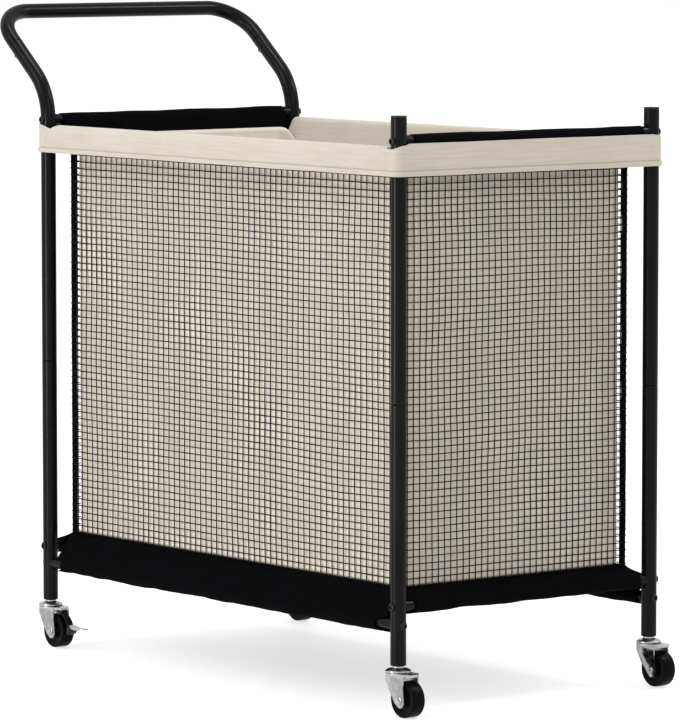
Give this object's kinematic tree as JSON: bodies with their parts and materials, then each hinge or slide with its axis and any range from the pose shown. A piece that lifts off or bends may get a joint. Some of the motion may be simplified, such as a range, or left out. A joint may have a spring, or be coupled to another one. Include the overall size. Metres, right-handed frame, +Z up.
{
  "type": "rolling laundry cart",
  "caption": "Rolling laundry cart: a bolted tube frame with a raised push handle, swivel castors, and an open net bag with a rolled-over cloth liner.",
  "frame": {"origin": "on the floor under the middle of the cart's whole box", "axes": "+X from the handle end to the front, +Y to the left of someone pushing, +Z up"},
  "size_m": [1.0276, 0.488, 0.9483],
  "materials": {
    "black_steel": "satin powder coat",
    "black_plastic": "moulded, matte",
    "black_bolt": "blackened steel, semi-gloss",
    "zinc": "bright zinc plate",
    "wheel_black": "smooth, satin",
    "black_net": "open square net",
    "black_cloth": "matte plain weave",
    "beige_cloth": "plain-weave, matte"
  },
  "bodies": {
    "root": {"bag_base": "black_cloth", "bottom_rail_front": "black_steel", "bottom_rail_left": "black_steel", "bottom_rail_rear": "black_steel", "bottom_rail_right": "black_steel", "castor_stem_front_left": "zinc", "castor_stem_front_right": "zinc", "castor_stem_rear_left": "zinc", "castor_stem_rear_right": "zinc", "end_bolt_bottom_front_left": "black_bolt", "end_bolt_bottom_front_right": "black_bolt", "end_bolt_bottom_rear_left": "black_bolt", "end_bolt_bottom_rear_right": "black_bolt", "end_bolt_top_front_left": "black_bolt", "end_bolt_top_front_right": "black_bolt", "end_bolt_top_rear_left": "black_bolt", "end_bolt_top_rear_right": "black_bolt", "handle_bar": "black_steel", "handle_leg_left": "black_steel", "handle_leg_right": "black_steel", "handle_screw_left": "black_bolt", "handle_screw_right": "black_bolt", "liner": "beige_cloth", "lower_post_front_left": "black_steel", "lower_post_front_right": "black_steel", "lower_post_rear_left": "black_steel", "lower_post_rear_right": "black_steel", "net_bag": "black_net", "post_cap_front_left": "black_plastic", "post_cap_front_right": "black_plastic", "side_bolt_bottom_front_left": "black_bolt", "side_bolt_bottom_front_right": "black_bolt", "side_bolt_bottom_rear_left": "black_bolt", "side_bolt_bottom_rear_right": "black_bolt", "side_bolt_top_front_left": "black_bolt", "side_bolt_top_front_right": "black_bolt", "side_bolt_top_rear_left": "black_bolt", "side_bolt_top_rear_right": "black_bolt", "top_rail_front": "black_steel", "top_rail_left": "black_steel", "top_rail_rear": "black_steel", "top_rail_right": "black_steel", "upper_post_front_left": "black_steel", "upper_post_front_right": "black_steel"},
    "castor_front_left": {"castor_fork_front_left": "zinc", "castor_axle_front_left": "zinc"},
    "wheel_front_left": {"castor_wheel_front_left": "wheel_black"},
    "castor_front_right": {"castor_fork_front_right": "zinc", "castor_axle_front_right": "zinc"},
    "wheel_front_right": {"castor_wheel_front_right": "wheel_black"},
    "castor_rear_left": {"castor_fork_rear_left": "zinc", "castor_axle_rear_left": "zinc"},
    "wheel_rear_left": {"castor_wheel_rear_left": "wheel_black"},
    "brake_rear_left": {"brake_lever_rear_left": "black_plastic"},
    "castor_rear_right": {"castor_fork_rear_right": "zinc", "castor_axle_rear_right": "zinc"},
    "wheel_rear_right": {"castor_wheel_rear_right": "wheel_black"},
    "brake_rear_right": {"brake_lever_rear_right": "black_plastic"}
  },
  "joints": [
    {"name": "swivel_front_left", "type": "hinge", "parent": "root", "child": "castor_front_left", "pos_m": [0.4678, 0.226, 0.059], "axis": [0, 0, 1], "continuous": true},
    {"name": "roll_front_left", "type": "hinge", "parent": "castor_front_left", "child": "wheel_front_left", "pos_m": [0.4888, 0.226, 0.025], "axis": [0, 1, 0], "continuous": true},
    {"name": "swivel_front_right", "type": "hinge", "parent": "root", "child": "castor_front_right", "pos_m": [0.4678, -0.226, 0.059], "axis": [0, 0, 1], "continuous": true},
    {"name": "roll_front_right", "type": "hinge", "parent": "castor_front_right", "child": "wheel_front_right", "pos_m": [0.4888, -0.226, 0.025], "axis": [0, 1, 0], "continuous": true},
    {"name": "swivel_rear_left", "type": "hinge", "parent": "root", "child": "castor_rear_left", "pos_m": [-0.3622, 0.226, 0.059], "axis": [0, 0, 1], "continuous": true},
    {"name": "roll_rear_left", "type": "hinge", "parent": "castor_rear_left", "child": "wheel_rear_left", "pos_m": [-0.3412, 0.226, 0.025], "axis": [0, 1, 0], "continuous": true},
    {"name": "brake_rear_left", "type": "hinge", "parent": "castor_rear_left", "child": "brake_rear_left", "pos_m": [-0.3312, 0.226, 0.054], "axis": [0, 1, 0], "range_deg": [0, 6]},
    {"name": "swivel_rear_right", "type": "hinge", "parent": "root", "child": "castor_rear_right", "pos_m": [-0.3622, -0.226, 0.059], "axis": [0, 0, 1], "continuous": true},
    {"name": "roll_rear_right", "type": "hinge", "parent": "castor_rear_right", "child": "wheel_rear_right", "pos_m": [-0.3412, -0.226, 0.025], "axis": [0, 1, 0], "continuous": true},
    {"name": "brake_rear_right", "type": "hinge", "parent": "castor_rear_right", "child": "brake_rear_right", "pos_m": [-0.3312, -0.226, 0.054], "axis": [0, 1, 0], "range_deg": [0, 6]}
  ]
}
